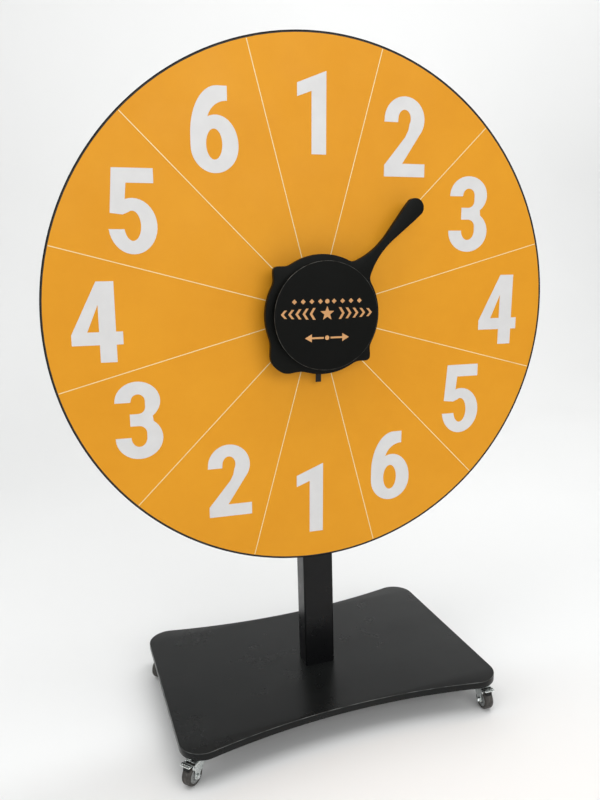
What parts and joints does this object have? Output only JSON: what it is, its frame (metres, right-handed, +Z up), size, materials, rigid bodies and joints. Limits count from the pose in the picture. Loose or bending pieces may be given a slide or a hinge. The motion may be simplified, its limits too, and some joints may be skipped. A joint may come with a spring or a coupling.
{
  "type": "game spinner",
  "caption": "Floor-standing game spinner: a round numbered dial on a post and wheeled base, with a free-turning pointer shaped like a frying pan.",
  "frame": {"origin": "on the floor, under the middle of the spinner's width and depth", "axes": "+X to the viewer's right, -Y towards the viewer, who faces the dial, +Z up"},
  "size_m": [1.2098, 0.5712, 1.613],
  "materials": {
    "base_wood": "satin charcoal paint on board",
    "post_paint": "black powder coat",
    "plate_paint": "black powder coat",
    "dial_wood": "black-faced board",
    "band_plastic": "black edge band",
    "cap_plastic": "moulded black",
    "face_print": "satin orange film",
    "line_vinyl": "cut cream vinyl",
    "number_vinyl": "cut pale grey vinyl",
    "spindle_steel": "turned",
    "bearing_steel": "ground",
    "zinc": "bright zinc plate",
    "alloy": "turned",
    "pan_plastic": "satin black",
    "cover_plastic": "satin black with a polished rim",
    "emblem_vinyl": "inlaid peach vinyl",
    "pad_foam": "adhesive pad",
    "stud_steel": "polished",
    "weight_steel": "plain",
    "tongue_plastic": "thin black sheet",
    "race_plastic": "black swivel race",
    "core_plastic": "pale wheel core",
    "tyre": "grey rubber"
  },
  "bodies": {
    "stand": {"base_board": "base_wood", "under_plate": "plate_paint", "post_bolts": "zinc", "post_end_plate": "plate_paint", "post_tube": "post_paint", "post_cap": "cap_plastic", "mounting_plate": "plate_paint", "plate_bolts": "zinc", "plate_screws": "zinc", "dial_board": "dial_wood", "dial_edge_band": "band_plastic", "dial_face": "face_print", "sector_lines": "line_vinyl", "dial_numbers": "number_vinyl", "spindle": "spindle_steel", "spindle_screws": "zinc", "bearing_inner_rings": "bearing_steel", "bearing_spacer": "alloy", "spindle_nut": "zinc", "cover_boss": "alloy", "boss_screw": "zinc", "cover_pad": "pad_foam", "cover_disc": "cover_plastic", "cover_emblem": "emblem_vinyl", "tongue_pivot": "zinc", "caster_plates": "zinc", "caster_races": "race_plastic", "caster_kingpins": "zinc", "caster_balls": "bearing_steel", "caster_screws": "zinc"},
    "pointer": {"bearing_outer_rings": "bearing_steel", "bearing_balls": "bearing_steel", "bearing_housing": "alloy", "pointer_screws": "zinc", "pan_pointer": "pan_plastic", "click_studs": "stud_steel", "balance_weight": "weight_steel"},
    "click_tongue": {"click_tongue": "tongue_plastic"},
    "swivel_fl": {"caster_fl_fork": "zinc", "caster_fl_axle": "zinc", "brake_fl_pin": "zinc"},
    "wheel_fl": {"caster_fl_core": "core_plastic", "caster_fl_tyre": "tyre"},
    "pedal_fl": {"brake_fl_pedal": "zinc"},
    "swivel_fr": {"caster_fr_fork": "zinc", "caster_fr_axle": "zinc", "brake_fr_pin": "zinc"},
    "wheel_fr": {"caster_fr_core": "core_plastic", "caster_fr_tyre": "tyre"},
    "pedal_fr": {"brake_fr_pedal": "zinc"},
    "swivel_rl": {"caster_rl_fork": "zinc", "caster_rl_axle": "zinc"},
    "wheel_rl": {"caster_rl_core": "core_plastic", "caster_rl_tyre": "tyre"},
    "swivel_rr": {"caster_rr_fork": "zinc", "caster_rr_axle": "zinc"},
    "wheel_rr": {"caster_rr_core": "core_plastic", "caster_rr_tyre": "tyre"}
  },
  "joints": [
    {"name": "pointer_spin", "type": "hinge", "parent": "stand", "child": "pointer", "pos_m": [0, -0.1135, 1.008], "axis": [0, 1, 0], "continuous": true},
    {"name": "tongue_swing", "type": "hinge", "parent": "stand", "child": "click_tongue", "pos_m": [-0.00196, -0.087, 0.92802], "axis": [0, 1, 0], "range_deg": [-25, 25]},
    {"name": "swivel_fl", "type": "hinge", "parent": "stand", "child": "swivel_fl", "pos_m": [-0.3618, -0.24646, 0.06], "axis": [0, 0, 1], "continuous": true},
    {"name": "wheel_fl", "type": "hinge", "parent": "swivel_fl", "child": "wheel_fl", "pos_m": [-0.37662, -0.25989, 0.025], "axis": [-0.6717, 0.7408, 0], "continuous": true},
    {"name": "brake_fl", "type": "hinge", "parent": "swivel_fl", "child": "pedal_fl", "pos_m": [-0.38366, -0.26627, 0.0525], "axis": [0.6717, -0.7408, 0], "range_deg": [0, 11]},
    {"name": "swivel_fr", "type": "hinge", "parent": "stand", "child": "swivel_fr", "pos_m": [0.37365, -0.2182, 0.06], "axis": [0, 0, 1], "continuous": true},
    {"name": "wheel_fr", "type": "hinge", "parent": "swivel_fr", "child": "wheel_fr", "pos_m": [0.37372, -0.2382, 0.025], "axis": [-1, -0.0035, 0], "continuous": true},
    {"name": "brake_fr", "type": "hinge", "parent": "swivel_fr", "child": "pedal_fr", "pos_m": [0.37376, -0.2477, 0.0525], "axis": [1, 0.0035, 0], "range_deg": [0, 11]},
    {"name": "swivel_rl", "type": "hinge", "parent": "stand", "child": "swivel_rl", "pos_m": [-0.38283, 0.19656, 0.06], "axis": [0, 0, 1], "continuous": true},
    {"name": "wheel_rl", "type": "hinge", "parent": "swivel_rl", "child": "wheel_rl", "pos_m": [-0.39508, 0.18076, 0.025], "axis": [-0.7902, 0.6129, 0], "continuous": true},
    {"name": "swivel_rr", "type": "hinge", "parent": "stand", "child": "swivel_rr", "pos_m": [0.36063, 0.22512, 0.06], "axis": [0, 0, 1], "continuous": true},
    {"name": "wheel_rr", "type": "hinge", "parent": "swivel_rr", "child": "wheel_rr", "pos_m": [0.35619, 0.20562, 0.025], "axis": [-0.9751, 0.2215, 0], "continuous": true}
  ]
}
